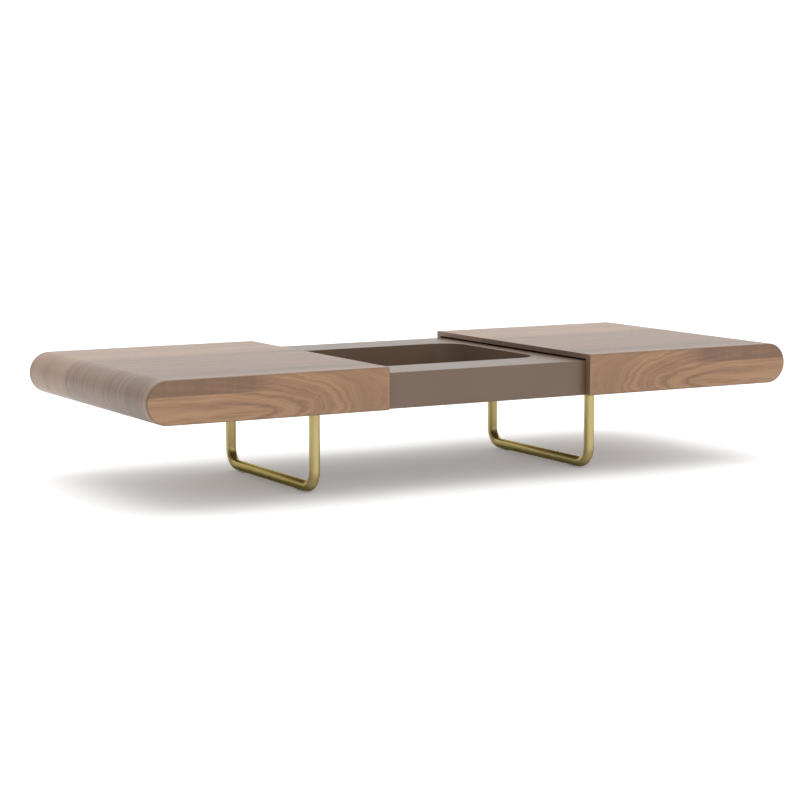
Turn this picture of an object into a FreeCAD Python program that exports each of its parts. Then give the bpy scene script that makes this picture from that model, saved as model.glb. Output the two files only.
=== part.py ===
import FreeCAD, Part
import os
import Sketcher

# Sliding top coffee table. Millimetres, +Z up, floor at Z = 0, length along X, front at -Y.
# The model stands with both covers open. Its origin is under the middle of the opened length.

doc = FreeCAD.newDocument("sliding_top_coffee_table")
sheet = doc.addObject("Spreadsheet::Sheet", "sizes")

# Every size that drives the table: name, millimetres, meaning.
driving_sizes = [
    ("width", 720, "across both aprons"),
    ("cover_length", 600, "one cover, meeting edge to rounded end"),
    ("cover_height", 100, "one cover, also the diameter of its rounded end"),
    ("top_board", 12, "bent top board of a cover"),
    ("apron_board", 18, "apron of a cover"),
    ("arris", 5, "rounding of the covers' outer edges"),
    ("meeting_arris", 1, "rounding of the edges that meet when closed"),
    ("open_left", 261, "middle of the box to the left cover's meeting edge"),
    ("open_right", 293, "middle of the box to the right cover's meeting edge, its full travel"),
    ("meeting_gap", 1, "middle of the box to each meeting edge when closed"),
    ("side_gap", 3, "apron to box"),
    ("top_gap", 4.5, "top board to deck"),
    ("end_gap", 6, "end of the box to the cover's end block when closed"),
    ("case_board", 16, "deck, rails and end panels of the box"),
    ("case_arris", 1, "eased edge where deck and rail meet"),
    ("bottom_board", 12, "bottom panel of the box"),
    ("recess_end_inset", 292, "end of the box to the storage recess"),
    ("recess_side_inset", 131, "side of the box to the storage recess"),
    ("recess_radius", 67, "corner of the recess"),
    ("liner_board", 10, "bent wall of the recess"),
    ("tray_board", 6, "floor of the recess"),
    ("leg_height", 202, "underside of the tube to underside of the box"),
    ("leg_end_inset", 160, "end of the box to the leg"),
    ("leg_side_inset", 135, "side of the table to the post"),
    ("tube_diameter", 25, "leg tube"),
    ("tube_wall", 2, "wall of the leg tube"),
    ("tube_bend", 40, "bend of the tube's centre line"),
    ("plate_length", 80, "leg plate along X"),
    ("plate_width", 60, "leg plate along Y"),
    ("plate_sheet", 4, "leg plate"),
    ("plate_corner", 8, "corner of the leg plate"),
    ("batten_width", 70, "leg batten along X"),
    ("batten_height", 25, "leg batten"),
    ("glide_base", 2, "floor to underside of the tube"),
    ("glide_height", 4, "floor to shoulder of the glide"),
    ("glide_width", 16, "glide across the tube"),
    ("glide_length", 24, "glide along the tube"),
    ("glide_inset", 65, "post to glide along Y"),
    ("runner_length", 300, "closed telescopic runner"),
    ("runner_height", 35, "telescopic runner"),
    ("runner_depth", 12.7, "rail to arm"),
    ("runner_sheet", 1.2, "rolled steel of a runner"),
    ("runner_bend", 2.5, "outer bend of a runner member"),
    ("runner_play", 0.3, "between sliding faces of a runner"),
    ("runner_head_room", 2.5, "screw heads between the webs of outer and middle member"),
    ("runner_lip", 0.7, "edge of a flange to the arm"),
    ("runner_setback", 10, "runner to end of the box"),
    ("arm_width", 18, "arm across"),
    ("arm_height", 40, "arm"),
    ("arm_room", 6, "arm to the box's end panel"),
    ("bracket_leg", 38, "each leg of an arm bracket"),
    ("bracket_height", 30, "arm bracket"),
    ("bracket_sheet", 2, "arm bracket"),
    ("bracket_bend", 3, "outer bend of an arm bracket"),
    ("pad_length", 60, "felt pad along X"),
    ("pad_width", 15, "felt pad along Y"),
    ("pad_inset", 30, "felt pad to the meeting edge"),
    ("pad_side", 40, "middle of the felt pad to the side of the box"),
    ("pad_play", 0.3, "felt pad to deck"),
]
for row, (name, size, meaning) in enumerate(driving_sizes, start=1):
    sheet.set(f"A{row}", name)
    sheet.set(f"B{row}", str(size))
    sheet.set(f"C{row}", meaning)
    sheet.setAlias(f"B{row}", name)
doc.recompute()

# Places that several pieces share, as expressions over the sheet.
half_width = "sizes.width / 2"
nose = "(sizes.cover_height / 2)"
nose_start = f"(sizes.cover_length - {nose})"
underside = "(sizes.glide_base + sizes.leg_height)"
cover_top = f"({underside} + sizes.cover_height)"
cover_middle = f"({underside} + {nose})"
board_under = f"({cover_top} - sizes.top_board)"
deck_top = f"({board_under} - sizes.top_gap)"
deck_under = f"({deck_top} - sizes.case_board)"
panel_top = f"({underside} + sizes.bottom_board)"
apron_inside = f"({half_width} - sizes.apron_board)"
rail_outside = f"({apron_inside} - sizes.side_gap)"
rail_inside = f"({rail_outside} - sizes.case_board)"
box_end = f"({nose_start} - sizes.end_gap + sizes.meeting_gap)"
base_x = "((sizes.open_left - sizes.open_right) / 2)"
cover_x = "((sizes.open_left + sizes.open_right) / 2)"
runner_start = f"({box_end} - sizes.runner_setback - sizes.runner_length)"
arm_start = f"({runner_start} - sizes.meeting_gap)"
arm_middle = f"(({panel_top} + {deck_under}) / 2)"
arm_outside = f"({rail_inside} - sizes.runner_depth)"
arm_inside = f"({arm_outside} - sizes.arm_width)"
leg_x = f"({box_end} - sizes.leg_end_inset)"
leg_y = f"({half_width} - sizes.leg_side_inset)"
tube_middle = "(sizes.glide_base + sizes.tube_diameter / 2)"
plate_under = f"({underside} - sizes.plate_sheet)"
ends = [("left", -1), ("right", 1)]
rows = [("front", -1), ("back", 1)]
pieces = []


def value(expression):
    return float(sheet.evalExpression(expression))


def point(x, y, z="0"):
    return FreeCAD.Vector(value(x), value(y), value(z))


class Outline:
    """A sketch on one of its body's origin planes, every point tied to the sheet."""

    def __init__(self, body, plane, lift="0"):
        self.sketch = body.newObject("Sketcher::SketchObject", f"{body.Name}_sketch")
        support = [feature for feature in body.Origin.OriginFeatures if feature.Role == plane]
        self.sketch.AttachmentSupport = [(support[0], "")]
        self.sketch.MapMode = "FlatFace"
        if lift != "0":
            self.sketch.setExpression("AttachmentOffset.Base.z", lift)

    def drive(self, constraint, expression):
        index = self.sketch.addConstraint(constraint)
        self.sketch.setExpression(f"Constraints[{index}]", expression)

    def tie(self, edge, end, x, y):
        for kind, axis, place in (("DistanceX", -2, x), ("DistanceY", -1, y)):
            if place == "0":
                self.sketch.addConstraint(Sketcher.Constraint("PointOnObject", edge, end, axis))
            else:
                self.drive(Sketcher.Constraint(kind, -1, 1, edge, end, value(place)), place)

    def circle(self, x, y, radius):
        edge = self.sketch.addGeometry(Part.Circle(point(x, y), FreeCAD.Vector(0, 0, 1), value(radius)))
        self.tie(edge, 3, x, y)
        self.drive(Sketcher.Constraint("Radius", edge, value(radius)), radius)
        return self

    def path(self, steps, closed=True):
        """Joins the steps: (x, y) is a corner, (x, y, cx, cy, radius) the end of an arc round (cx, cy)."""
        stops = steps[1:] + steps[:1] if closed else steps[1:]
        joints = []
        start = steps[0]
        for stop in stops:
            edge, first, last = self.line(start, stop) if len(stop) == 2 else self.arc(start, stop)
            if joints:
                self.sketch.addConstraint(Sketcher.Constraint("Coincident", *joints[-1][1], edge, first))
            elif not closed:
                self.tie(edge, first, *start[:2])
            joints.append(((edge, first), (edge, last)))
            self.tie(edge, last, *stop[:2])
            start = stop
        if closed:
            self.sketch.addConstraint(Sketcher.Constraint("Coincident", *joints[-1][1], *joints[0][0]))
        return self

    def line(self, start, stop):
        edge = self.sketch.addGeometry(Part.LineSegment(point(*start[:2]), point(*stop[:2])))
        return edge, 1, 2

    def arc(self, start, stop):
        x, y, middle_x, middle_y, radius = stop
        middle = point(middle_x, middle_y)
        first = point(*start[:2]) - middle
        last = point(x, y) - middle
        counter_clockwise = first.cross(last).z > 0
        if not counter_clockwise:
            first, last = last, first
        circle = Part.Circle(middle, FreeCAD.Vector(0, 0, 1), value(radius))
        begin, finish = [circle.parameter(middle + spoke) for spoke in (first, last)]
        edge = self.sketch.addGeometry(Part.ArcOfCircle(circle, begin, finish))
        self.drive(Sketcher.Constraint("Radius", edge, value(radius)), radius)
        return (edge, 1, 2) if counter_clockwise else (edge, 2, 1)


def new_body(name):
    return doc.addObject("PartDesign::Body", name)


def pad(body, outline, length, symmetric=False, reverse=False):
    feature = body.newObject("PartDesign::Pad", f"{body.Name}_pad")
    feature.Profile = outline.sketch
    feature.SideType = "Symmetric" if symmetric else "One side"
    feature.Reversed = reverse
    feature.setExpression("Length", length)
    doc.recompute()
    return feature


def cut_through(body, outline):
    feature = body.newObject("PartDesign::Pocket", f"{body.Name}_opening")
    feature.Profile = outline.sketch
    feature.SideType = "Symmetric"
    feature.Type = "ThroughAll"
    doc.recompute()
    return feature


def round_edges(body, feature, radius, wanted):
    """Fillets the edges of a feature whose middle passes a test."""
    names = []
    for number, edge in enumerate(feature.Shape.Edges, start=1):
        if wanted(edge.valueAt((edge.FirstParameter + edge.LastParameter) / 2)):
            names.append(f"Edge{number}")
    fillet = body.newObject("PartDesign::Fillet", f"{body.Name}_fillet")
    fillet.Base = (feature, names)
    fillet.setExpression("Radius", radius)
    doc.recompute()
    return fillet


def place(piece, x="0", y="0", z="0", turn=0):
    spin = FreeCAD.Rotation(FreeCAD.Vector(0, 0, 1), turn)
    piece.Placement = FreeCAD.Placement(FreeCAD.Vector(0, 0, 0), spin)
    for axis, expression in zip("xyz", (x, y, z)):
        if expression != "0":
            piece.setExpression(f"Placement.Base.{axis}", expression)
    return piece


def keep(piece):
    pieces.append(piece)
    return piece


def block(name, x, y, z, length, width, height):
    box = doc.addObject("Part::Box", name)
    for size_name, size in (("Length", length), ("Width", width), ("Height", height)):
        box.setExpression(size_name, size)
    return place(box, x, y, z)


def group(name, members):
    compound = doc.addObject("Part::Compound", name)
    compound.Links = members
    return keep(compound)


def near(number, expression):
    return abs(number - value(expression)) < 1e-4


def round_rectangle(half_x, half_y, radius):
    """Steps round a rectangle about the origin with one corner radius."""
    inner_x = f"({half_x} - {radius})"
    inner_y = f"({half_y} - {radius})"
    return [
        (f"-{inner_x}", f"-{half_y}", f"-{inner_x}", f"-{inner_y}", radius),
        (inner_x, f"-{half_y}"),
        (half_x, f"-{inner_y}", inner_x, f"-{inner_y}", radius),
        (half_x, inner_y),
        (inner_x, half_y, inner_x, inner_y, radius),
        (f"-{inner_x}", half_y),
        (f"-{half_x}", inner_y, f"-{inner_x}", inner_y, radius),
        (f"-{half_x}", f"-{inner_y}"),
    ]


def nose_steps(inset):
    """The half-round end of a cover from bottom to top, set in from the outer face."""
    radius = f"({nose} - {inset})"
    return [
        (nose_start, f"({underside} + {inset})"),
        (f"(sizes.cover_length - {inset})", cover_middle, nose_start, cover_middle, radius),
        (nose_start, f"({cover_top} - {inset})", nose_start, cover_middle, radius),
    ]


# The box: deck and rails meet in mitres with an eased edge, the bottom panel lies between the rails.
eased = "sizes.case_arris"
deck = keep(new_body("deck"))
deck_half = [
    (rail_inside, deck_under),
    (f"({rail_outside} - {eased} / 2)", f"({deck_top} - {eased} / 2)"),
    (f"({rail_outside} - {eased})", deck_top),
]
deck_outline = Outline(deck, "YZ_Plane")
deck_outline.path(deck_half + [(f"-{y}", z) for y, z in reversed(deck_half)])
pad(deck, deck_outline, f"2 * {box_end}", symmetric=True)
recess_x = f"({box_end} - sizes.recess_end_inset)"
recess_y = f"({rail_outside} - sizes.recess_side_inset)"
recess = round_rectangle(recess_x, recess_y, "sizes.recess_radius")
opening = cut_through(deck, Outline(deck, "XY_Plane").path(recess))
round_edges(
    deck, opening, eased,
    lambda at: near(at.z, deck_top) and abs(at.x) < value(recess_x) + 1 and abs(at.y) < value(recess_y) + 1,
)
place(deck, base_x)

for row_name, row in rows:
    rail = keep(new_body(f"{row_name}_rail"))
    profile = [
        (rail_inside, underside),
        (rail_outside, underside),
        (rail_outside, f"({deck_top} - {eased})"),
        (f"({rail_outside} - {eased} / 2)", f"({deck_top} - {eased} / 2)"),
        (rail_inside, deck_under),
    ]
    rail_outline = Outline(rail, "YZ_Plane").path([(f"{row} * {y}", z) for y, z in profile])
    pad(rail, rail_outline, f"2 * {box_end}", symmetric=True)
    place(rail, base_x)

keep(block(
    "bottom_panel", f"{base_x} - {box_end}", f"-{rail_inside}", underside,
    f"2 * {box_end}", f"2 * {rail_inside}", "sizes.bottom_board",
))

end_half = f"({arm_inside} - sizes.arm_room)"
for end_name, end in ends:
    end_middle = f"{base_x} + {end} * ({box_end} - sizes.case_board / 2)"
    keep(block(
        f"{end_name}_end_panel", f"{end_middle} - sizes.case_board / 2", f"-{end_half}", panel_top,
        "sizes.case_board", f"2 * {end_half}", f"{deck_under} - {panel_top}",
    ))
    batten_x = f"{base_x} + {end} * {leg_x} - sizes.batten_width / 2"
    keep(block(
        f"{end_name}_leg_batten", batten_x, f"-{end_half}", panel_top,
        "sizes.batten_width", f"2 * {end_half}", "sizes.batten_height",
    ))

wall = keep(new_body("tray_wall"))
wall_outline = Outline(wall, "XY_Plane", panel_top).path(recess)
wall_outline.path(round_rectangle(
    f"({recess_x} + sizes.liner_board)", f"({recess_y} + sizes.liner_board)",
    "(sizes.recess_radius + sizes.liner_board)",
))
pad(wall, wall_outline, f"{deck_under} - {panel_top}")
place(wall, base_x)

tray = keep(new_body("tray_floor"))
pad(tray, Outline(tray, "XY_Plane", panel_top).path(recess), "sizes.tray_board")
place(tray, base_x)

# The legs: a bent tube each, a plate welded on each post, and saddle-shaped glides under the floor bar.
tube_radius = "(sizes.tube_diameter / 2)"
bend_y = f"({leg_y} - sizes.tube_bend)"
bend_z = f"({tube_middle} + sizes.tube_bend)"
glides = []
for end_name, end in ends:
    leg_place = f"{base_x} + {end} * {leg_x}"
    tube = keep(new_body(f"{end_name}_leg_tube"))
    spine = Outline(tube, "YZ_Plane").path([
        (f"-{leg_y}", plate_under),
        (f"-{leg_y}", bend_z),
        (f"-{bend_y}", tube_middle, f"-{bend_y}", bend_z, "sizes.tube_bend"),
        (bend_y, tube_middle),
        (leg_y, bend_z, bend_y, bend_z, "sizes.tube_bend"),
        (leg_y, plate_under),
    ], closed=False)
    section = Outline(tube, "XY_Plane", plate_under)
    section.circle("0", f"-{leg_y}", tube_radius)
    section.circle("0", f"-{leg_y}", f"({tube_radius} - sizes.tube_wall)")
    sweep = tube.newObject("PartDesign::AdditivePipe", f"{end_name}_leg_sweep")
    sweep.Profile = section.sketch
    sweep.Spine = spine.sketch
    doc.recompute()
    place(tube, leg_place)

    for row_name, row in rows:
        plate = keep(new_body(f"{end_name}_{row_name}_leg_plate"))
        plate_outline = Outline(plate, "XY_Plane")
        plate_outline.path(round_rectangle(
            "(sizes.plate_length / 2)", "(sizes.plate_width / 2)", "sizes.plate_corner",
        ))
        pad(plate, plate_outline, "sizes.plate_sheet")
        place(plate, leg_place, f"{row} * {leg_y}", plate_under)

        glide = new_body(f"{end_name}_{row_name}_glide")
        saddle_drop = f"({tube_middle} - sizes.glide_height)"
        saddle_x = f"sqrt({tube_radius} * {tube_radius} - {saddle_drop} * {saddle_drop})"
        glide_x = "(sizes.glide_width / 2)"
        saddle = Outline(glide, "XZ_Plane").path([
            (f"-{glide_x}", "0"),
            (glide_x, "0"),
            (glide_x, "sizes.glide_height"),
            (saddle_x, "sizes.glide_height"),
            ("0", "sizes.glide_base", "0", tube_middle, tube_radius),
            (f"-{saddle_x}", "sizes.glide_height", "0", tube_middle, tube_radius),
            (f"-{glide_x}", "sizes.glide_height"),
        ])
        pad(glide, saddle, "sizes.glide_length", symmetric=True)
        glides.append(place(glide, leg_place, f"{row} * ({leg_y} - sizes.glide_inset)"))
group("floor_glides", glides)


# The runners: three channels of rolled steel that nest in each other, web towards the rail or the arm.
def channel(body, row, back, way, depth, half_height):
    """Pads a C section whose web stands at `back` from the rail and whose flanges run `way` for `depth`."""
    bend = "sizes.runner_bend"
    metal = "sizes.runner_sheet"
    straight = f"({half_height} - {bend})"
    inner = f"({half_height} - {metal})"
    tight = f"({bend} - {metal})"
    upper = [
        (metal, straight),
        (bend, inner, bend, straight, tight),
        (depth, inner),
        (depth, half_height),
        (bend, half_height),
        ("0", straight, bend, straight, bend),
    ]
    lower = [
        ("0", f"-{straight}"),
        (bend, f"-{half_height}", bend, f"-{straight}", bend),
        (depth, f"-{half_height}"),
        (depth, f"-{inner}"),
        (bend, f"-{inner}"),
        (metal, f"-{straight}", bend, f"-{straight}", tight),
    ]
    across = lambda reach: f"({-row} * ({back} + {way} * {reach}))"
    steps = []
    for x, z, *turn in upper + lower:
        centre = [across(turn[0])] + turn[1:] if turn else []
        steps.append((across(x), z, *centre))
    pad(body, Outline(body, "YZ_Plane").path(steps), "sizes.runner_length")


half_height = "(sizes.runner_height / 2)"
nest = "(sizes.runner_sheet + sizes.runner_play)"
flange_end = "(sizes.runner_depth - sizes.runner_lip)"
middle_back = "(sizes.runner_sheet + sizes.runner_head_room)"
inner_reach = f"(sizes.runner_depth - {middle_back} - sizes.runner_bend - sizes.runner_play)"
members = {
    "outer": ("0", 1, flange_end, half_height),
    "middle": (middle_back, 1, f"({flange_end} - {middle_back})", f"({half_height} - {nest})"),
    "inner": ("sizes.runner_depth", -1, inner_reach, f"({half_height} - 2 * {nest})"),
}
for end_name, end in ends:
    # All runners are drawn along +X, so a left-hand one starts at its far end.
    far_end = "sizes.runner_length" if end < 0 else "0"
    closed_x = f"({base_x} + {end} * {runner_start} - {far_end})"
    opened_x = f"({end} * ({cover_x} + {arm_start}) - {far_end})"
    starts = {"outer": closed_x, "middle": f"({closed_x} + {opened_x}) / 2", "inner": opened_x}
    for row_name, row in rows:
        for member, (back, way, depth, half) in members.items():
            runner_name = f"{end_name}_{row_name}_runner_{member}"
            runner = keep(new_body(runner_name))
            channel(runner, row, back, way, depth, half)
            place(runner, starts[member], f"{row} * {rail_inside}", arm_middle)


# The covers: built with the meeting edge at X = 0 and turned end for end for the left one.
def bracket_of(name, end, row):
    """An angle of sheet steel with one leg on the arm and one on the end block."""
    bracket = new_body(name)
    leg, metal, bend = "sizes.bracket_leg", "sizes.bracket_sheet", "sizes.bracket_bend"
    steps = [
        (f"-{leg}", "0"),
        (f"-{bend}", "0"),
        ("0", bend, f"-{bend}", bend, bend),
        ("0", leg),
        (f"-{metal}", leg),
        (f"-{metal}", bend),
        (f"-{bend}", metal, f"-{bend}", bend, f"({bend} - {metal})"),
        (f"-{leg}", metal),
    ]
    across = lambda reach: f"({-row} * {reach})" if reach != "0" else "0"
    outline = Outline(bracket, "XY_Plane")
    outline.path([
        (x, across(y), *([turn[0], across(turn[1]), turn[2]] if turn else []))
        for x, y, *turn in steps
    ])
    pad(bracket, outline, "sizes.bracket_height", symmetric=True)
    corner_x = f"{end} * ({cover_x} + {nose_start})"
    return place(bracket, corner_x, f"{end * row} * {arm_inside}", arm_middle, 90 - 90 * end)


inner_width = f"2 * {apron_inside}"
arm_length = f"({nose_start} - {arm_start})"
felt_height = "(sizes.top_gap - sizes.pad_play)"
for end_name, end in ends:
    turn = 90 - 90 * end
    cover_place = f"{end} * {cover_x}"

    shell = keep(new_body(f"{end_name}_shell"))
    outside, inside = nose_steps("0"), nose_steps("sizes.top_board")
    inside_back = [
        inside[2][:2],
        (inside[1][0], inside[1][1], *inside[2][2:]),
        (inside[0][0], inside[0][1], *inside[1][2:]),
    ]
    shell_outline = Outline(shell, "XZ_Plane").path(
        outside + [("0", cover_top), ("0", board_under)] + inside_back
    )
    bent = pad(shell, shell_outline, inner_width, symmetric=True)
    round_edges(shell, bent, "sizes.meeting_arris", lambda at: near(at.x, "0") and near(at.z, cover_top))
    place(shell, cover_place, turn=turn)

    core = keep(new_body(f"{end_name}_end_block"))
    pad(core, Outline(core, "XZ_Plane").path(inside), inner_width, symmetric=True)
    place(core, cover_place, turn=turn)

    brackets, felts = [], []
    for row_name, row in rows:
        local = end * row
        apron = keep(new_body(f"{end_name}_{row_name}_apron"))
        apron_outline = Outline(apron, "XZ_Plane").path(outside + [("0", cover_top), ("0", underside)])
        board = pad(apron, apron_outline, "sizes.apron_board", reverse=local > 0)
        outer_face = f"{local} * sizes.apron_board"
        rounded = round_edges(
            apron, board, "sizes.arris",
            lambda at: near(at.y, outer_face) and not near(at.x, "0"),
        )
        round_edges(
            apron, rounded, "sizes.meeting_arris",
            lambda at: near(at.x, "0") and not near(at.y, "0"),
        )
        place(apron, cover_place, f"{row} * {apron_inside}", turn=turn)

        arm_x = f"{end} * ({cover_x} + {arm_start} + {arm_length} / 2) - {arm_length} / 2"
        arm_y = f"{row} * ({arm_inside} + sizes.arm_width / 2) - sizes.arm_width / 2"
        keep(block(
            f"{end_name}_{row_name}_arm", arm_x, arm_y, f"{arm_middle} - sizes.arm_height / 2",
            arm_length, "sizes.arm_width", "sizes.arm_height",
        ))
        brackets.append(bracket_of(f"{end_name}_{row_name}_bracket", end, local))

        felt_x = f"{end} * ({cover_x} + sizes.pad_inset + sizes.pad_length / 2) - sizes.pad_length / 2"
        felt_y = f"{row} * ({rail_outside} - sizes.pad_side) - sizes.pad_width / 2"
        felts.append(block(
            f"{end_name}_{row_name}_felt", felt_x, felt_y, f"{board_under} - {felt_height}",
            "sizes.pad_length", "sizes.pad_width", felt_height,
        ))
    group(f"{end_name}_arm_brackets", brackets)
    group(f"{end_name}_top_glides", felts)

doc.recompute()
for item in doc.Objects:
    if "Invalid" in item.State or "Error" in item.State:
        raise RuntimeError(f"{item.Label} did not build: {item.State}")
os.makedirs("parts", exist_ok=True)
for piece in pieces:
    if piece.Shape.isNull() or not piece.Shape.isValid():
        raise RuntimeError(f"{piece.Label} has no valid shape")
    piece.Shape.exportStep(f"parts/{piece.Label}.step")
print(f"{len(pieces)} pieces written")
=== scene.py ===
import math

import bmesh
import bpy
from mathutils import Matrix, Vector


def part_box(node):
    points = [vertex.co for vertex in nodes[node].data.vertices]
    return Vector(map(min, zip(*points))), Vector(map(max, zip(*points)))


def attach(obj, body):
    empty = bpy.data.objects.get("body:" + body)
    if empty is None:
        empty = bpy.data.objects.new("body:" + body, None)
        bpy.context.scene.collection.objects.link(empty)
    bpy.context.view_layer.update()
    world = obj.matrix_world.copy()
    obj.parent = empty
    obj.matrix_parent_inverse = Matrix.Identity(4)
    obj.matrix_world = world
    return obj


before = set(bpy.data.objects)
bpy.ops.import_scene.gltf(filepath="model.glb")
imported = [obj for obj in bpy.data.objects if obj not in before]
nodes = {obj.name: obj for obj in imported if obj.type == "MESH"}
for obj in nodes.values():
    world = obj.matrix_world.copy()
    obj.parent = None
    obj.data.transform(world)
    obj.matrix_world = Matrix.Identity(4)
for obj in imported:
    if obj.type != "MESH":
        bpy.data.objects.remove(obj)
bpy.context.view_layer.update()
print("frame:", len(nodes), "solids")


class Wire:  # one socket of a node tree, with sums written as plain expressions
    def __init__(self, tree, socket=None):
        self.tree = tree
        self.socket = socket

    def node(self, kind, settings=None, sockets=None, output=0):
        made = self.tree.nodes.new(kind)
        for name, value in (settings or {}).items():
            if name == "stops":
                ramp = made.color_ramp.elements
                while len(ramp) < len(value):
                    ramp.new(0.5)
                for stop, (at, colour) in zip(ramp, value):
                    stop.position = at
                    stop.color = colour
            else:
                setattr(made, name, value)
        for name, value in (sockets or {}).items():
            if isinstance(value, Wire):
                self.tree.links.new(value.socket, made.inputs[name])
            else:
                made.inputs[name].default_value = value
        return Wire(self.tree, made.outputs[output] if made.outputs else None)

    def sum(self, operation, *values):
        return self.node("ShaderNodeMath", {"operation": operation}, dict(enumerate(values)))

    def __add__(self, other):
        return self.sum("ADD", self, other)

    def __radd__(self, other):
        return self.sum("ADD", other, self)

    def __sub__(self, other):
        return self.sum("SUBTRACT", self, other)

    def __rsub__(self, other):
        return self.sum("SUBTRACT", other, self)

    def __mul__(self, other):
        return self.sum("MULTIPLY", self, other)

    def __rmul__(self, other):
        return self.sum("MULTIPLY", other, self)

    def __truediv__(self, other):
        return self.sum("DIVIDE", self, other)

    def __rtruediv__(self, other):
        return self.sum("DIVIDE", other, self)

    def __abs__(self):
        return self.sum("ABSOLUTE", self)

    def parts(self):  # x, y and z of a vector
        return [self.node("ShaderNodeSeparateXYZ", None, {0: self}, axis) for axis in "XYZ"]

    def rise(self, low, high):  # 0 below low, 1 above high, smooth between
        return self.node("ShaderNodeMapRange", {"interpolation_type": "SMOOTHSTEP"},
                         {"Value": self, "From Min": low, "From Max": high})

    def blend(self, first, second):  # first where this is 0, second where it is 1
        return first + self * (second - first)

    def mix(self, first, second):  # the same for colours, whose sockets are 6, 7 and 2
        return self.node("ShaderNodeMix", {"data_type": "RGBA"}, {0: self, 6: first, 7: second}, 2)

    def swing(self):  # noise about its middle
        return self - 0.5

    def growth(self, start, full, end):  # growth rings: each darkens slowly and ends sharply
        ring = self.sum("FRACT", self)
        return ring.rise(start, full) * (1.0 - ring.rise(end, 1.0)) - 0.33

    def cells(self, count, detail=2.0, roughness=0.5):  # noise at this place, in cells per metre
        return self.node("ShaderNodeTexNoise", None,
                         {"Vector": self, "Scale": count, "Detail": detail, "Roughness": roughness})

    def noise(self, x, y, z, detail=2.0, roughness=0.5):  # stretched noise, its cells set in x, y and z
        at = self.node("ShaderNodeCombineXYZ", None, {0: x, 1: y, 2: z})
        return at.cells(1.0, detail, roughness)

    def ramp(self, *stops):
        return self.node("ShaderNodeValToRGB", {"stops": stops}, {0: self})


def newPaint(name):
    material = bpy.data.materials.new(name)
    material.use_nodes = True
    material.node_tree.nodes.clear()
    paint = Wire(material.node_tree)
    return material, paint, paint.node("ShaderNodeTexCoord", None, None, "Object")


def finishPaint(paint, height, depth, **values):
    sockets = {name.replace("_", " "): value for name, value in values.items()}
    bump = {"Height": height, "Distance": depth, "Strength": 1.0}
    sockets["Normal"] = paint.node("ShaderNodeBump", None, bump)
    shader = paint.node("ShaderNodeBsdfPrincipled", None, sockets)
    paint.node("ShaderNodeOutputMaterial", None, {"Surface": shader})


# walnut veneer: leaves on the top run round the half-round end, arched figure on the aprons
walnut = {
    "tones": (0.15, 0.5, 0.95),  # of the pale, the middle and the deep colour
    "top": ((0.285, 0.174, 0.108, 1), (0.222, 0.132, 0.082, 1), (0.123, 0.078, 0.055, 1)),
    "face": ((0.338, 0.195, 0.105, 1), (0.256, 0.141, 0.075, 1), (0.161, 0.087, 0.051, 1)),
    "arris": (0.070, 0.052, 0.040, 1),  # painted shade drawn into the rounded edges, where they turn from the light
    "arrisShare": 0.26,
    "roughness": 0.36,
    "specular": 0.44,
    "poreDepth": 0.00012,
    # places in metres, from the middle of the table and up from the floor
    "halfLength": 0.877,
    "halfWidth": 0.36,
    "meetingEnd": (0.40, 0.41),  # ends nearer the middle than this meet when shut
    "edgeJoint": (0.134, 0.136),  # in the edge of the top board, paler behind it
    "noseCentre": (0.827, 0.254),
    "noseRadius": 0.05,
    "apronInside": 0.342,
    "apronFoot": 0.204,
    "stripFoot": 0.267,  # joint under the darker strip of an apron
    "seam": 0.0006,  # half width of that joint
    # figure of the top
    "topTone": 0.38,
    "paintedNoseShade": 0.05,  # painted shade: how much darker a leaf is drawn per radian round the end, as it turns from the light
    "leafWidth": 0.12,
    "leafContrast": 0.12,
    "sway": 0.02,  # how far the lines wander
    "broadContrast": 1.1,
    "mediumContrast": 0.30,
    "fineContrast": 0.24,
    "topRings": 22.0,  # growth rings in one leaf
    "ringContrast": 0.22,
    "darkStreaks": ((0.04, 0.07, 0.28), (-0.22, 0.13, 0.42)),  # place across, half width, strength
    "streakContrast": 0.6,
    # figure of the aprons, with lengths from the outer end
    "faceTone": (0.37, 0.47),  # at the outer end and further in
    "faceTurn": (0.15, 0.45),  # where it goes from one to the other
    "archStart": 0.295,  # the innermost arch
    "archLong": 4.4,  # how much longer than high an arch is
    "archFoot": (0.002, 0.055),  # height of the arches' middle line, and its rise per metre
    "archWander": (0.07, 0.026),  # along and up
    "ringStep": 0.0125,  # ring to ring across the apron
    "ringFeather": 0.55,
    "archContrast": (0.9, 1.35, 0.55, (0.12, 0.36), (0.44, 0.56)),  # as strength() takes them
    "lateContrast": (0.10, 0.24, 0.4, (0.08, 0.28), (0.42, 0.54)),
    "lineContrast": 0.30,
    "cloudContrast": 0.50,
    "stripEnd": (0.20, 0.36),  # where the strip fades
    "stripTone": 0.75,
    "stripFigure": 0.4,  # share of the apron's own figure in it
    "curlContrast": 0.8,
}


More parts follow.
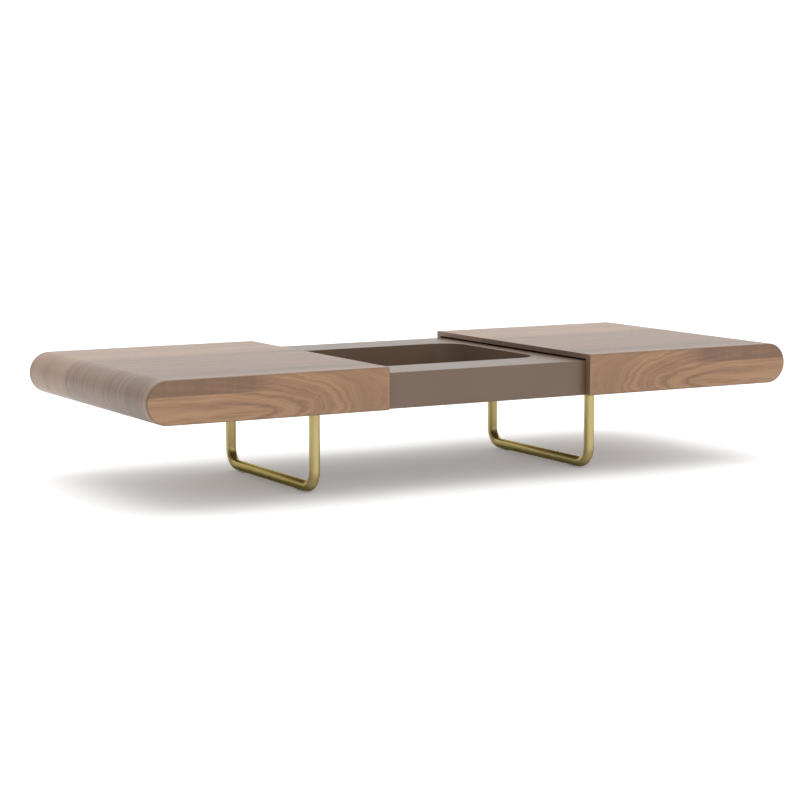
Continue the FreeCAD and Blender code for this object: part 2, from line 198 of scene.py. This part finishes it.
def walnutPaint():
    material, paint, place = newPaint("walnut_veneer")
    x, y, z = place.parts()
    normalX, normalY = paint.node("ShaderNodeNewGeometry", None, None, "Normal").parts()[:2]
    tiltX, tiltY = abs(normalX), abs(normalY)
    out = abs(x)
    noseX, noseZ = walnut["noseCentre"]
    turn = paint.sum("ARCTAN2", paint.sum("MAXIMUM", out - noseX, 0.0), z - noseZ)
    along = paint.sum("MINIMUM", out, noseX) + turn * walnut["noseRadius"]
    face = tiltY.rise(0.6, 0.8)  # aprons
    inner = tiltX.rise(0.6, 0.8) * (1.0 - out.rise(*walnut["meetingEnd"]))  # edges that meet when shut

    # leaves of the top, matched like an open book
    side = y + walnut["halfWidth"]
    leaf = paint.sum("FLOOR", side / walnut["leafWidth"])
    across = paint.sum("PINGPONG", side, walnut["leafWidth"])
    leafTone = paint.node("ShaderNodeTexWhiteNoise", {"noise_dimensions": "1D"}, {"W": leaf}).swing()
    sway = paint.noise(along * 1.7, across * 6.0, leaf * 0.5 + 3.0).swing() * walnut["sway"]
    lane = across + sway
    broad = paint.noise(along * 0.9, lane * 15.0, leaf * 0.3 + 5.0).swing()
    medium = paint.noise(along, lane * 110.0, leaf * 0.7 + 9.0, 3.0).swing()
    fine = paint.noise(along * 1.4, lane * 330.0, leaf * 0.9 + 14.0)
    ripple = paint.noise(along * 0.5, lane * 8.0, leaf * 0.6 + 31.0, 1.0)
    rings = (ripple * walnut["topRings"] + fine * 0.35).growth(0.40, 0.92, 0.93)
    topTone = broad * walnut["broadContrast"] + medium * walnut["mediumContrast"]
    topTone = topTone + fine.swing() * walnut["fineContrast"] + rings * walnut["ringContrast"]
    # turn times the painted nose shade draws the veneer darker round the half-round end
    topTone = topTone + leafTone * walnut["leafContrast"] + turn * walnut["paintedNoseShade"] + walnut["topTone"]
    for middle, half, strong in walnut["darkStreaks"]:
        off = (y + sway * 2.5 - middle) / half
        topTone = topTone + (strong + medium * walnut["streakContrast"]) / (1.0 + off * off * off * off)

    # arches on the aprons, pointing at the middle of the table
    reach = walnut["halfLength"] - out
    rise = z - walnut["apronFoot"]
    back = paint.sum("SIGN", y) * 3.0  # front and back are different leaves
    swell = paint.noise(reach * 8.0, rise * 16.0, back + 1.0, 3.0).swing()
    wander = paint.noise(reach * 9.0, rise * 26.0, back + 11.0, 3.0).swing()
    feather = paint.noise(reach * 14.0, rise * 300.0, back + 60.0).swing()
    wanderLong, wanderUp = walnut["archWander"]
    foot, climb = walnut["archFoot"]
    length = (reach + wander * wanderLong - walnut["archStart"]) / walnut["archLong"]
    height = rise + swell * wanderUp - reach * climb - foot
    ring = (paint.sum("SQRT", length * length + height * height) + length) / walnut["ringStep"]
    ring = ring + feather * walnut["ringFeather"]
    arches = paint.noise(ring * 1.7, reach * 1.5, back + 40.0).swing()
    lines = paint.noise(ring * 7.0, reach * 9.0, back + 50.0).swing()
    cloud = paint.noise(reach * 5.0, rise * 18.0, back + 21.0).swing()
    late = (ring + cloud * 0.8).growth(0.30, 0.90, 0.92)

    def strength(outside, middle, inside, grow, fade):  # over the length of an apron
        return reach.rise(*grow).blend(outside, middle) * reach.rise(*fade).blend(1.0, inside)

    faceTone = arches * strength(*walnut["archContrast"]) + late * strength(*walnut["lateContrast"])
    faceTone = faceTone + lines * walnut["lineContrast"] + cloud * walnut["cloudContrast"]
    faceTone = faceTone + reach.rise(*walnut["faceTurn"]).blend(*walnut["faceTone"])
    seam, stripFoot, inside = walnut["seam"], walnut["stripFoot"], walnut["apronInside"]
    strip = z.rise(stripFoot - seam, stripFoot + seam) * (1.0 - reach.rise(*walnut["stripEnd"]))
    curl = paint.noise(reach * 34.0, rise * 5.0, back + 33.0).swing() * walnut["curlContrast"]
    faceTone = strip.blend(faceTone, faceTone * walnut["stripFigure"] + walnut["stripTone"] + curl)

    # ends of the boards that meet when shut
    edgeTone = paint.noise(y * 9.0, z * 420.0, 4.0, 3.0) * 0.7
    edgeTone = edgeTone - y.rise(*walnut["edgeJoint"]) * 0.35 + 0.52
    endTone = paint.noise(y * 500.0, z * 9.0, 8.0, 3.0) * 0.5 + 0.70
    apronEnd = inner * abs(y).rise(inside - seam / 2, inside + seam / 2)
    faceTone = inner.blend(faceTone, endTone)

    # fibres and pores along the grain, and painted shade in the arrises
    u = face.blend(along, out)
    v = face.blend(y, z)
    fibre = paint.noise(u * 11.0, v * 520.0, 2.0, 3.0, 0.6)
    pore = paint.noise(u * 70.0, v * 1700.0, 6.0, 1.0).rise(0.62, 0.72)
    hair = fibre.swing() * 0.24 + pore * 0.14
    flat = (inner.blend(topTone, edgeTone) + hair).ramp(*zip(walnut["tones"], walnut["top"]))
    upright = (faceTone + hair).ramp(*zip(walnut["tones"], walnut["face"]))
    colour = paint.sum("MAXIMUM", face, apronEnd).mix(flat, upright)
    # painted shade: rounded edges, found by how far they face the front or back, are drawn darker
    arris = tiltY.rise(0.15, 0.45) * (1.0 - tiltY.rise(0.90, 0.985))
    colour = (arris * walnut["arrisShare"]).mix(colour, walnut["arris"])
    rough = walnut["roughness"] + pore * 0.18 + fibre.swing() * 0.12
    finishPaint(paint, fibre * 0.35 - pore, walnut["poreDepth"], Base_Color=colour, Roughness=rough,
                Specular_IOR_Level=walnut["specular"])
    return material


# taupe lacquer: sprayed, satin, with the faint orange peel of a sprayed coat
taupe = {
    "low": (0.119, 0.077, 0.050, 1),
    "high": (0.141, 0.092, 0.061, 1),
    "roughness": 0.34,
    "specular": 0.44,
    "peelDepth": 0.00006,
}


def taupePaint():
    material, paint, place = newPaint("taupe_lacquer")
    cloud = place.cells(5.0, 3.0)
    peel = place.cells(420.0)
    dust = place.cells(60.0)
    colour = (cloud * 0.8 + peel * 0.2).ramp((0.3, taupe["low"]), (0.7, taupe["high"]))
    rough = taupe["roughness"] + cloud.swing() * 0.10 + dust.swing() * 0.08
    finishPaint(paint, peel, taupe["peelDepth"], Base_Color=colour, Roughness=rough,
                Specular_IOR_Level=taupe["specular"])
    return material


# satin brass: finely brushed, softly clouded, with painted shade low on the bar, standing in for the
# shaded floor it reflects
brass = {
    "low": (0.434, 0.350, 0.150, 1),
    "high": (0.506, 0.416, 0.191, 1),
    # painted shade: the colour the bar is drawn in near the floor, for the shaded floor it reflects
    "paintedFloorShade": (0.135, 0.108, 0.050, 1),
    "paintedFloorShadeHeights": (0.006, 0.027),  # above the floor: full below the first, none above the second
    "paintedFloorShadeShare": (0.46, 0.5),  # painted shade everywhere near the floor, and more in the patches of a cloud
    "edge": (0.60, 0.53, 0.34, 1),  # tint of what is seen at a glancing angle
    "roughness": 0.34,
    "polish": 0.07,  # how much smoother the bar on the floor is, rubbed by shoes
    "polishHeights": (0.026, 0.060),
    "brushDepth": 0.000006,
}


def brassPaint():
    material, paint, place = newPaint("satin_brass")
    z = place.parts()[2]
    cloud = place.cells(14.0, 3.0)
    brush = place.cells(900.0)
    # a cloud that varies the roughness and the amount of painted shade near the floor
    wearAndShadeCloud = place.cells(45.0, 4.0)
    colour = (cloud * 0.8 + brush * 0.2).ramp((0.3, brass["low"]), (0.7, brass["high"]))
    everywhere, more = brass["paintedFloorShadeShare"]
    # painted shade: the lower part of the bar is drawn darker, as the shaded floor under the table would
    # make it
    paintedFloorShade = (1.0 - z.rise(*brass["paintedFloorShadeHeights"])) * (everywhere + wearAndShadeCloud * more)
    colour = paintedFloorShade.mix(colour, brass["paintedFloorShade"])
    polish = (1.0 - z.rise(*brass["polishHeights"])) * brass["polish"]
    rough = brass["roughness"] - polish + brush.swing() * 0.06 + wearAndShadeCloud.swing() * 0.08
    finishPaint(paint, brush, brass["brushDepth"], Base_Color=colour, Roughness=rough, Metallic=1.0,
                Specular_Tint=brass["edge"])
    return material


# zinc plated steel of the runners, brackets and screws
zinc = {
    "low": (0.420, 0.430, 0.440, 1),
    "high": (0.620, 0.625, 0.620, 1),
    "spangles": 160.0,  # per metre
    "roughness": 0.34,
    "rollDepth": 0.00004,
}


def zincPaint():
    material, paint, place = newPaint("zinc_steel")
    x, y, z = place.parts()
    cell = {"Vector": place, "Scale": zinc["spangles"]}
    spangle = paint.node("ShaderNodeTexVoronoi", None, cell, "Distance")
    roll = paint.noise(x * 30.0, y * 700.0, z * 700.0)
    colour = (spangle * 0.6 + roll * 0.4).ramp((0.2, zinc["low"]), (0.7, zinc["high"]))
    rough = zinc["roughness"] + spangle.swing() * 0.16 + roll.swing() * 0.10
    finishPaint(paint, roll, zinc["rollDepth"], Base_Color=colour, Roughness=rough, Metallic=1.0)
    return material


# beech: pale, straight, flecked with short rays
beech = {
    "low": (0.470, 0.315, 0.195, 1),
    "high": (0.610, 0.445, 0.300, 1),
    "roughness": 0.52,
    "fleckDepth": -0.00008,
}


def beechPaint():
    material, paint, place = newPaint("beech")
    x, y, z = place.parts()
    band = paint.noise(x * 3.0, y * 60.0, z * 60.0, 3.0)
    fleck = paint.noise(x * 160.0, y * 900.0, z * 900.0, 1.0).rise(0.6, 0.7)
    tone = band * 0.8 + (1.0 - fleck) * 0.2
    colour = tone.ramp((0.3, beech["low"]), (0.75, beech["high"]))
    rough = beech["roughness"] + fleck * 0.12
    finishPaint(paint, fleck, beech["fleckDepth"], Base_Color=colour, Roughness=rough)
    return material


# felt under the covers and nylon under the legs
pads = {
    "feltLow": (0.100, 0.088, 0.078, 1),
    "feltHigh": (0.215, 0.195, 0.178, 1),
    "feltRoughness": 0.85,
    "fuzzDepth": 0.0004,
    "nylonLow": (0.560, 0.550, 0.530, 1),
    "nylonHigh": (0.660, 0.650, 0.630, 1),
    "nylonRoughness": 0.42,
    "grainDepth": 0.00008,
}


def feltPaint():
    material, paint, place = newPaint("felt")
    fuzz = place.cells(1400.0, 4.0, 0.7)
    cloud = place.cells(90.0)
    colour = (fuzz * 0.7 + cloud * 0.3).ramp((0.3, pads["feltLow"]), (0.7, pads["feltHigh"]))
    rough = pads["feltRoughness"] + fuzz * 0.12
    finishPaint(paint, fuzz, pads["fuzzDepth"], Base_Color=colour, Roughness=rough)
    return material


def nylonPaint():
    material, paint, place = newPaint("nylon")
    x, y, z = place.parts()
    grain = place.cells(800.0)
    scuff = paint.noise(x * 120.0, y * 25.0, z * 120.0, 3.0)
    colour = (grain * 0.4 + scuff * 0.6).ramp((0.3, pads["nylonLow"]), (0.7, pads["nylonHigh"]))
    rough = pads["nylonRoughness"] + scuff * 0.2
    finishPaint(paint, grain, pads["grainDepth"], Base_Color=colour, Roughness=rough)
    return material


finishes = {
    "walnut_veneer": walnutPaint(),
    "taupe_lacquer": taupePaint(),
    "satin_brass": brassPaint(),
    "zinc_steel": zincPaint(),
    "beech": beechPaint(),
    "felt": feltPaint(),
    "nylon": nylonPaint(),
}
print("finishes:", len(finishes))

# which finish each solid takes; the first that fits counts, so arm brackets come before arms
finishOf = {
    "zinc_steel": ("runner", "bracket"),
    "felt": ("top_glides",),
    "nylon": ("floor_glides",),
    "walnut_veneer": ("shell", "apron"),
    "taupe_lacquer": ("deck", "front_rail", "back_rail", "bottom_panel", "end_panel", "tray_wall",
                      "tray_floor"),
    "satin_brass": ("leg_tube", "leg_plate"),
    "beech": ("batten", "arm", "end_block"),
}


def finishFor(name):
    for finish, words in finishOf.items():
        if any(word in name for word in words):
            return finish
    raise ValueError(name)


for name, node in nodes.items():
    finish = finishFor(name)
    node.data.materials.clear()
    node.data.materials.append(finishes[finish])
print("solids finished")

# small fixings, seen from below
fixings = {
    "legX": (-0.401, 0.369),
    "postY": 0.225,
    "plateUnder": 0.200,
    "plateScrews": (0.030, 0.020),  # from the middle of a plate to its screws
    "legHead": (0.0086, 0.0024),  # width and height
    "bracketHead": (0.0075, 0.0019),
    "bracketZ": 0.24375,
    "bracketThick": 0.002,
    "bracketSteps": (0.014, 0.029),  # from the corner of a bracket to its screws
    "headSides": 24,
    "headRound": 0.7,  # share of the head's height that is rounded over
    "socket": (0.24, 0.6),  # radius as a share of the head's width, depth as a share of its height
    "lobes": (6, 0.16),  # of the socket, and how far they reach
    "headTurn": 0.7,  # radians from one screw to the next
    "tubeRadius": 0.0125,
    "weld": 0.0032,
    "weldSink": 0.0004,  # into the tube
    "weldShape": ((1.0, 0.0), (0.75, 0.42), (0.4, 0.78)),  # out and down, in shares of the weld
    "weldSteps": 40,
    "sharpAngle": 38,
}


def addPiece(name, bm, finish, body):
    bmesh.ops.recalc_face_normals(bm, faces=bm.faces)
    mesh = bpy.data.meshes.new(name)
    bm.to_mesh(mesh)
    bm.free()
    mesh.shade_smooth()
    mesh.set_sharp_from_angle(angle=math.radians(fixings["sharpAngle"]))
    mesh.materials.append(finishes[finish])
    piece = bpy.data.objects.new(name, mesh)
    bpy.context.scene.collection.objects.link(piece)
    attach(piece, body)


def screwHead(width, rise):
    bm = bmesh.new()
    bmesh.ops.create_cone(bm, cap_ends=True, segments=fixings["headSides"], radius1=width / 2,
                          radius2=width / 2, depth=rise)
    bmesh.ops.translate(bm, verts=bm.verts, vec=(0, 0, rise / 2))
    rim = [e for e in bm.edges if all(v.co.z > rise * 0.9 for v in e.verts)]
    bmesh.ops.bevel(bm, geom=rim, offset=rise * fixings["headRound"], segments=4, profile=0.5,
                    affect="EDGES", material=-1)
    cap = max(bm.faces, key=lambda f: (round(f.calc_center_median().z, 6), f.calc_area()))
    socketRadius, socketDepth = fixings["socket"]
    edge = cap.verts[0].co.xy.length - width * socketRadius
    bmesh.ops.inset_individual(bm, faces=[cap], thickness=edge)
    count, bulge = fixings["lobes"]
    for v in cap.verts:
        lobe = 1 + bulge * math.cos(count * math.atan2(v.co.y, v.co.x))
        v.co.x *= lobe
        v.co.y *= lobe
    sunk = bmesh.ops.extrude_discrete_faces(bm, faces=[cap])["faces"][0]
    bmesh.ops.translate(bm, verts=sunk.verts, vec=(0, 0, -rise * socketDepth))
    head = bpy.data.meshes.new("screw_head")
    bm.to_mesh(head)
    bm.free()
    return head


def screwRow(name, size, places, body):
    head = screwHead(*size)
    bm = bmesh.new()
    for number, (point, facing) in enumerate(places):
        before = len(bm.verts)
        bm.from_mesh(head)
        bm.verts.ensure_lookup_table()
        stand = Vector(facing).to_track_quat("Z", "Y").to_matrix().to_4x4()
        turned = Matrix.Rotation(number * fixings["headTurn"], 4, "Z")
        stand = Matrix.Translation(point) @ stand @ turned
        bmesh.ops.transform(bm, matrix=stand, verts=bm.verts[before:])
    addPiece(name, bm, "zinc_steel", body)
    bpy.data.meshes.remove(head)


def weldRings(name, legX):
    bm = bmesh.new()
    size = fixings["weld"]
    radius = fixings["tubeRadius"]
    sunk = radius - fixings["weldSink"]
    outline = [(radius + size * out, -size * down) for out, down in fixings["weldShape"]]
    outline = [(sunk, 0.0)] + outline + [(sunk, -size)]
    for row in (-1, 1):
        centre = Vector((legX, row * fixings["postY"], fixings["plateUnder"]))
        verts = [bm.verts.new(centre + Vector((r, 0, h))) for r, h in outline]
        edges = [bm.edges.new((verts[i - 1], verts[i])) for i in range(len(verts))]
        bmesh.ops.spin(bm, geom=verts + edges, cent=centre, axis=(0, 0, 1), dvec=(0, 0, 0),
                       angle=2 * math.pi, steps=fixings["weldSteps"], use_merge=True)
    addPiece(name, bm, "satin_brass", "base")


for sideName, legX in zip(("left", "right"), fixings["legX"]):
    weldRings(sideName + "_leg_welds", legX)
    stepX, stepY = fixings["plateScrews"]
    corners = [(legX + i * stepX, row * fixings["postY"] + j * stepY, fixings["plateUnder"])
               for row in (-1, 1) for i in (-1, 1) for j in (-1, 1)]
    screwRow(sideName + "_leg_screws", fixings["legHead"], [(c, (0, 0, -1)) for c in corners], "base")
    bracketLow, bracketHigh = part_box(sideName + "_arm_brackets")
    inward = 1 if sideName == "left" else -1
    cornerX = bracketLow.x if sideName == "left" else bracketHigh.x
    thick, up = fixings["bracketThick"], fixings["bracketZ"]
    spots = []
    for row in (-1, 1):
        armY = row * bracketHigh.y
        for step in fixings["bracketSteps"]:
            spots.append(((cornerX + inward * step, armY - row * thick, up), (0, -row, 0)))
            spots.append(((cornerX + inward * thick, armY - row * step, up), (inward, 0, 0)))
    screwRow(sideName + "_bracket_screws", fixings["bracketHead"], spots, sideName + "_cover")
print("fixings made")

# floor, light and camera
studio = {
    "floorSize": 60.0,
    "floorPale": (0.91, 0.91, 0.91, 1),
    "floorWhite": (0.94, 0.94, 0.94, 1),
    "floorRoughness": 0.9,
    "floorGlow": 0.160,  # lit from below, as on a lit table
    "skyHorizon": 1.10,
    "skyAbove": 1.165,
    "skyHeights": (0.12, 0.65),  # where the horizon ends and the sky above begins
    "skyRight": 0.35,  # share of the light left on the right hand side
    "rightSide": (0.72, 0.98),
    "skyLeft": 0.04,  # the same on the left, low down only
    "leftSide": (0.30, 0.86),
    "sunStrength": 0.95,
    "sunWidth": 60.0,  # degrees across
    "sunTilt": (8.0, -2.0),  # degrees from overhead, towards the front and the side
    "cameraPlace": (-2.71605, -4.66400, 0.83906),
    "cameraYaw": 0.52025,  # radians from straight back, towards the right
    "cameraPitch": 0.12291,  # radians down
    "lens": 98.23,
    "sensorWidth": 36,
}


def floorPaint():
    material, paint, place = newPaint("floor")
    cloud = place.cells(2.0)
    colour = cloud.ramp((0.3, studio["floorPale"]), (0.7, studio["floorWhite"]))
    finishPaint(paint, cloud, 0.0, Base_Color=colour, Roughness=studio["floorRoughness"],
                Emission_Color=(1, 1, 1, 1), Emission_Strength=studio["floorGlow"])
    return material


def skyPaint():
    world = bpy.data.worlds.new("studio")
    world.use_nodes = True
    world.node_tree.nodes.clear()
    paint = Wire(world.node_tree)
    x, y, z = paint.node("ShaderNodeTexCoord", None, None, "Generated").parts()
    above = abs(z).rise(*studio["skyHeights"])
    right = x.rise(*studio["rightSide"]).blend(1.0, studio["skyRight"])
    left = ((0.0 - x).rise(*studio["leftSide"]) * (1.0 - above)).blend(1.0, studio["skyLeft"])
    strength = above.blend(studio["skyHorizon"], studio["skyAbove"]) * right * left
    sky = paint.node("ShaderNodeBackground", None, {"Color": (1, 1, 1, 1), "Strength": strength})
    paint.node("ShaderNodeOutputWorld", None, {"Surface": sky})
    return world


def makeStudio():
    bm = bmesh.new()
    bmesh.ops.create_grid(bm, x_segments=1, y_segments=1, size=studio["floorSize"] / 2)
    mesh = bpy.data.meshes.new("floor")
    bm.to_mesh(mesh)
    bm.free()
    mesh.materials.append(floorPaint())
    floor = bpy.data.objects.new("floor", mesh)
    bpy.context.scene.collection.objects.link(floor)
    bpy.context.scene.world = skyPaint()

    lamp = bpy.data.lights.new("overhead", "SUN")
    lamp.energy = studio["sunStrength"]
    lamp.angle = math.radians(studio["sunWidth"])
    overhead = bpy.data.objects.new("overhead", lamp)
    tiltFront, tiltSide = (math.radians(a) for a in studio["sunTilt"])
    overhead.rotation_euler = (tiltFront, tiltSide, 0)
    bpy.context.scene.collection.objects.link(overhead)

    lens = bpy.data.cameras.new("camera")
    lens.lens = studio["lens"]
    lens.sensor_width = studio["sensorWidth"]
    camera = bpy.data.objects.new("camera", lens)
    camera.location = studio["cameraPlace"]
    camera.rotation_euler = (math.pi / 2 - studio["cameraPitch"], 0, -studio["cameraYaw"])
    bpy.context.scene.collection.objects.link(camera)
    bpy.context.scene.camera = camera
    bpy.context.scene.view_settings.view_transform = "Standard"


makeStudio()
print("studio set")
